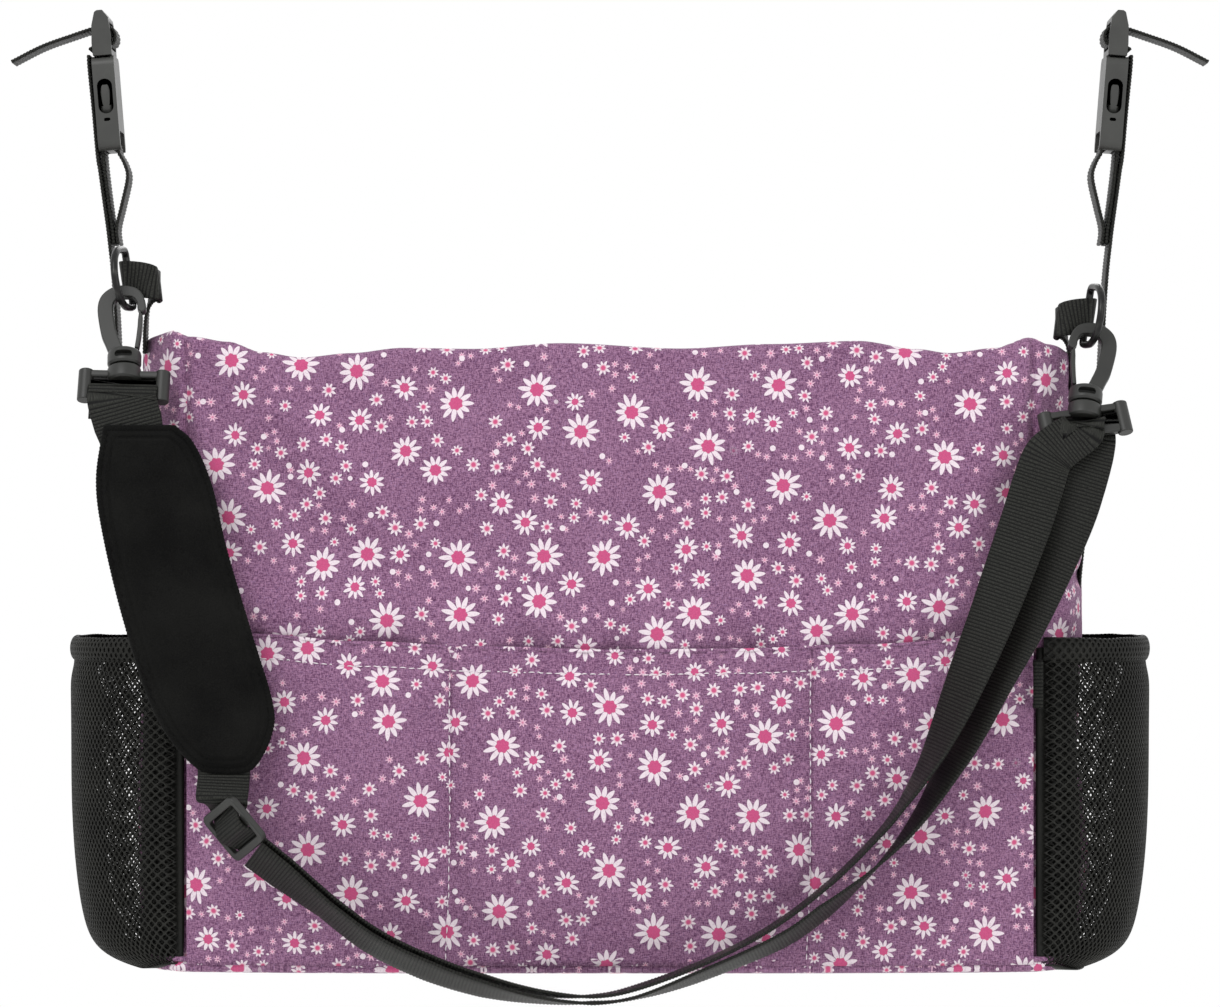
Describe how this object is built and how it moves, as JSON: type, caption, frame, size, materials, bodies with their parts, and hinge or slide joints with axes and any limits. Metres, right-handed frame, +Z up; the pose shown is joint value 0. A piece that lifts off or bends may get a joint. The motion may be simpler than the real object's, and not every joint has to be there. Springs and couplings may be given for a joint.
{
  "type": "diaper bag",
  "caption": "Wide soft bag hung by stroller straps with side-release buckles, with mesh side pockets, a front pocket and a padded clip-on shoulder strap.",
  "frame": {"origin": "midway between the stroller loops, at the height where a stroller's handle passes through them", "axes": "+Z up as hung, -Y out of the bag's front face, +X to the right of someone looking at that face"},
  "size_m": [0.5848, 0.1652, 0.4806],
  "materials": {
    "print_cloth": "printed woven cloth",
    "mesh": "knitted air mesh",
    "webbing": "ribbed webbing",
    "plastic": "fine satin",
    "ring": "satin black",
    "pad_cloth": "brushed knit",
    "foam": "closed foam",
    "board": "plain",
    "zip_metal": "satin black"
  },
  "bodies": {
    "bag": {"front_panel": "print_cloth", "back_panel": "print_cloth", "left_gusset": "print_cloth", "right_gusset": "print_cloth", "base_panel": "print_cloth", "base_board": "board", "top_panel_front": "print_cloth", "top_panel_rear": "print_cloth", "zip_tape_front": "webbing", "zip_tape_rear": "webbing", "zip_coil": "webbing", "zip_end_tab_left": "print_cloth", "zip_end_tab_right": "print_cloth", "front_pocket_panel": "print_cloth", "left_mesh_pocket": "mesh", "right_mesh_pocket": "mesh", "left_pocket_hem": "mesh", "right_pocket_hem": "mesh", "left_pocket_tab": "webbing", "right_pocket_tab": "webbing", "left_side_loop": "webbing", "right_side_loop": "webbing", "left_stroller_strap": "webbing", "right_stroller_strap": "webbing", "left_buckle_loop": "webbing", "right_buckle_loop": "webbing", "left_buckle_socket": "plastic", "right_buckle_socket": "plastic"},
    "slider": {"zip_slider": "zip_metal"},
    "pull_tab": {"zip_pull": "zip_metal"},
    "left_ring": {"left_d_ring": "ring"},
    "right_ring": {"right_d_ring": "ring"},
    "shoulder_strap": {"left_swivel_plate": "plastic", "shoulder_webbing_left": "webbing", "tri_glide": "plastic", "shoulder_webbing_loop": "webbing", "right_swivel_plate": "plastic"},
    "shoulder_pad": {"pad_cover": "pad_cloth", "pad_foam": "foam", "pad_backing": "pad_cloth"},
    "left_hook": {"left_hook": "plastic"},
    "left_gate": {"left_hook_gate": "plastic"},
    "left_clip": {"left_buckle_clip": "plastic", "left_strap_tail": "webbing"},
    "left_front_prong": {"left_front_prong": "plastic"},
    "left_rear_prong": {"left_rear_prong": "plastic"},
    "right_hook": {"right_hook": "plastic"},
    "right_gate": {"right_hook_gate": "plastic"},
    "right_clip": {"right_buckle_clip": "plastic", "right_strap_tail": "webbing"},
    "right_front_prong": {"right_front_prong": "plastic"},
    "right_rear_prong": {"right_rear_prong": "plastic"}
  },
  "joints": [
    {"name": "zip_slide", "type": "slide", "parent": "bag", "child": "slider", "axis": [1, 0, 0], "range_m": [0, 0.3]},
    {"name": "zip_pull_turn", "type": "hinge", "parent": "slider", "child": "pull_tab", "pos_m": [-0.15, 0, -0.0945], "axis": [0, 1, 0], "range_deg": [0, 170]},
    {"name": "shoulder_swing", "type": "hinge", "parent": "bag", "child": "shoulder_strap", "pos_m": [-0.234, -0.042, -0.061], "axis": [-0.9993, 0, 0.0386], "range_deg": [0, 85]},
    {"name": "pad_slide", "type": "slide", "parent": "shoulder_strap", "child": "shoulder_pad", "axis": [-0.2696, 0.0529, 0.9615], "range_m": [-0.001, 0.005]},
    {"name": "left_ring_turn", "type": "hinge", "parent": "bag", "child": "left_ring", "pos_m": [-0.23507, -0.033, -0.05388], "axis": [-0.1483, 0, 0.9889], "range_deg": [-3, 3]},
    {"name": "left_hook_swivel", "type": "hinge", "parent": "shoulder_strap", "child": "left_hook", "pos_m": [-0.234, -0.042, -0.061], "axis": [-0.0175, 0.4077, 0.9129], "range_deg": [-10, 10]},
    {"name": "left_gate_open", "type": "hinge", "parent": "left_hook", "child": "left_gate", "pos_m": [-0.22758, -0.05423, -0.08828], "axis": [-0.0078, -0.9131, 0.4076], "range_deg": [0, 14], "stiffness_Nm_per_rad": 0.002, "springref_deg": -5.73},
    {"name": "left_clip_release", "type": "slide", "parent": "bag", "child": "left_clip", "axis": [-0.0797, 0, 0.9968], "range_m": [0, 0.032]},
    {"name": "left_front_squeeze", "type": "hinge", "parent": "left_clip", "child": "left_front_prong", "pos_m": [-0.24732, -0.0105, 0.05557], "axis": [0.9968, 0, 0.0797], "range_deg": [0, 7], "stiffness_Nm_per_rad": 0.004, "springref_deg": -2.86},
    {"name": "left_rear_squeeze", "type": "hinge", "parent": "left_clip", "child": "left_rear_prong", "pos_m": [-0.24732, 0.0105, 0.05557], "axis": [-0.9968, 0, -0.0797], "range_deg": [0, 7], "stiffness_Nm_per_rad": 0.004, "springref_deg": -2.86},
    {"name": "right_ring_turn", "type": "hinge", "parent": "bag", "child": "right_ring", "pos_m": [0.23307, -0.033, -0.07188], "axis": [0.1483, 0, 0.9889], "range_deg": [-3, 3]},
    {"name": "right_hook_swivel", "type": "hinge", "parent": "shoulder_strap", "child": "right_hook", "pos_m": [0.232, -0.042, -0.079], "axis": [0.0975, 0.4058, 0.9087], "range_deg": [-10, 10]},
    {"name": "right_gate_open", "type": "hinge", "parent": "right_hook", "child": "right_gate", "pos_m": [0.22321, -0.05417, -0.10563], "axis": [-0.0433, 0.914, -0.4035], "range_deg": [0, 14], "stiffness_Nm_per_rad": 0.002, "springref_deg": -5.73},
    {"name": "right_clip_release", "type": "slide", "parent": "bag", "child": "right_clip", "axis": [0.0797, 0, 0.9968], "range_m": [0, 0.032]},
    {"name": "right_front_squeeze", "type": "hinge", "parent": "right_clip", "child": "right_front_prong", "pos_m": [0.24732, -0.0105, 0.05557], "axis": [0.9968, 0, -0.0797], "range_deg": [0, 7], "stiffness_Nm_per_rad": 0.004, "springref_deg": -2.86},
    {"name": "right_rear_squeeze", "type": "hinge", "parent": "right_clip", "child": "right_rear_prong", "pos_m": [0.24732, 0.0105, 0.05557], "axis": [-0.9968, 0, 0.0797], "range_deg": [0, 7], "stiffness_Nm_per_rad": 0.004, "springref_deg": -2.86}
  ]
}
